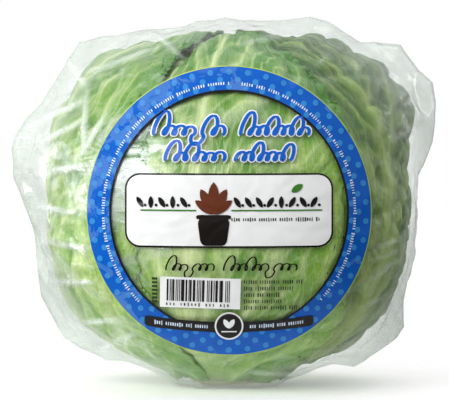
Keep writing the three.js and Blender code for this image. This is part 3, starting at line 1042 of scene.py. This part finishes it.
def make_print(film):
    """Every print: its shape, how many coats of ink lie under it, and its ink."""
    # The pale blue laid in patches over the blue inks is a painted reflection of the lamp at the left.
    glare_blue = colour(92, 142, 206)
    blue = ink_material("ring_blue", colour(3, 92, 192), colour(2, 84, 180), glare_blue)
    dot_blue = ink_material("dot_blue", colour(52, 136, 208), colour(44, 126, 200), glare_blue)
    black = ink_material("black_ink", colour(26, 22, 20))
    white = ink_material("white_ink", colour(246, 247, 247), colour(236, 237, 238))
    green = ink_material("leaf_green_ink", colour(62, 128, 40), colour(50, 110, 34))
    lime = ink_material("edge_lime", colour(190, 212, 60))
    script_blue = ink_material("script_blue", colour(10, 96, 200))
    pale_blue = ink_material("small_print_white", colour(214, 228, 246), colour(196, 214, 240))
    grey = ink_material("small_print_grey", colour(52, 60, 44))
    auburn = ink_material("sprig_auburn", colour(104, 50, 28), colour(82, 38, 22))
    for name, build, coat, ink in (
        ("ring_edge", ring_edge, 1, lime),
        ("ring_band", ring_band, 2, blue),
        ("ring_dots", ring_dots, 3, dot_blue),
        ("ring_line", ring_line, 3, black),
        ("ring_small_print", ring_words, 4, pale_blue),
        ("plate_outline", plate_outline, 1, black),
        ("plate", plate, 2, white),
        ("script_outline", script_outline, 1, white),
        ("script_strokes", script_strokes, 3, script_blue),
        ("lower_script", lower_script, 1, black),
        ("plate_garland", garland, 4, black),
        ("plate_underlines", underlines, 4, green),
        ("plate_small_print", plate_words, 3, grey),
        ("plate_pot", pot, 4, black),
        ("plate_sprig", sprig, 5, auburn),
        ("bar_panel", bar_panel, 1, white),
        ("bars", bars, 2, black),
        ("bar_small_print", bar_words, 2, grey),
        ("small_print_block", small_print, 1, grey),
        ("banner", banner, 4, black),
        ("banner_small_print", banner_words, 5, pale_blue),
        ("seal_rim", seal_rim, 5, white),
        ("seal_face", seal_face, 6, black),
        ("seal_mark", seal_mark, 7, white),
    ):
        bm = bmesh.new()
        build(bm)
        lay_on_film(bm, film, coat)
        add_piece(name, bm, ink)


# ============ the studio
def make_floor():
    """A pale round floor that fades away, for the contact shadow."""
    r = Recipe("pale_floor")
    grain = r.noise(r.place(), 900, 2.0)
    shader = r.node(
        "ShaderNodeBsdfPrincipled",
        Base_Color=r.mix(grain, (0.93, 0.93, 0.93, 1), (0.95, 0.95, 0.95, 1)),
        Roughness=0.75,
    )
    shader.inputs["Specular IOR Level"].default_value = 0.2
    shader.inputs["Emission Color"].default_value = WHITE
    shader.inputs["Emission Strength"].default_value = FLOOR_GLOW
    clear = r.node("ShaderNodeBsdfTransparent").outputs["BSDF"]
    away = r.node("ShaderNodeVectorMath", {"operation": "LENGTH"}, Vector=r.place()).outputs["Value"]
    fade = r.mixed(r.span(away, FLOOR_SOLID, FLOOR_RADIUS), shader.outputs["BSDF"], clear)
    bm = bmesh.new()
    bmesh.ops.create_circle(bm, cap_ends=True, segments=96, radius=FLOOR_RADIUS)
    floor = add_piece("floor", bm, r.finish(fade), body=None)


def add_softbox(name, place, size, power):
    data = bpy.data.lights.new(name, "AREA")
    data.shape = "RECTANGLE"
    data.size, data.size_y = size
    data.energy = power
    lamp = bpy.data.objects.new(name, data)
    lamp.location = place
    lamp.rotation_euler = (SOFTBOX_AIM - Vector(place)).to_track_quat("-Z", "Y").to_euler()
    bpy.context.scene.collection.objects.link(lamp)


def make_world():
    """White where the camera looks past the object, and for light a dome that is brighter at the left."""
    world = bpy.data.worlds.new("studio")
    bpy.context.scene.world = world
    world.use_nodes = True
    tree = world.node_tree
    tree.nodes.clear()
    link = tree.links.new
    place = tree.nodes.new("ShaderNodeTexCoord").outputs["Generated"]
    split = tree.nodes.new("ShaderNodeSeparateXYZ")
    link(place, split.inputs[0])

    def ramp(axis, low, high, to_low, to_high):
        made = tree.nodes.new("ShaderNodeMapRange")
        for key, value in zip(("From Min", "From Max", "To Min", "To Max"), (low, high, to_low, to_high)):
            made.inputs[key].default_value = value
        link(split.outputs[axis], made.inputs["Value"])
        return made.outputs["Result"]

    strength = tree.nodes.new("ShaderNodeMath")
    strength.operation = "MULTIPLY"
    link(ramp("X", -0.7, 0.9, DOME_LEFT, DOME_RIGHT), strength.inputs[0])
    link(ramp("Z", -0.15, 0.1, DOME_BELOW, 1.0), strength.inputs[1])
    seen = tree.nodes.new("ShaderNodeLightPath").outputs["Is Camera Ray"]
    dome = tree.nodes.new("ShaderNodeBackground")
    link(strength.outputs[0], dome.inputs["Strength"])
    backdrop = tree.nodes.new("ShaderNodeBackground")
    mix = tree.nodes.new("ShaderNodeMixShader")
    link(seen, mix.inputs[0])
    link(dome.outputs[0], mix.inputs[1])
    link(backdrop.outputs[0], mix.inputs[2])
    for background in (dome, backdrop):
        background.inputs["Color"].default_value = WHITE
    output = tree.nodes.new("ShaderNodeOutputWorld")
    link(mix.outputs[0], output.inputs["Surface"])


def make_camera():
    data = bpy.data.cameras.new("camera")
    data.sensor_width = 36
    data.lens = data.sensor_width * CAMERA_DISTANCE / VIEW_WIDTH
    camera = bpy.data.objects.new("camera", data)
    tilt = math.radians(CAMERA_ELEVATION)
    camera.location = LOOK_AT + Vector((0, -math.cos(tilt), math.sin(tilt))) * CAMERA_DISTANCE
    camera.rotation_euler = (math.pi / 2 - tilt, 0, 0)
    bpy.context.scene.collection.objects.link(camera)
    bpy.context.scene.camera = camera


make_camera()
for softbox in SOFTBOXES:
    add_softbox(*softbox)
make_world()
make_floor()
make_leaves()
make_heart()
make_stem()
film_tree = make_film()
make_print(film_tree)
bpy.context.scene.view_settings.view_transform = "Standard"
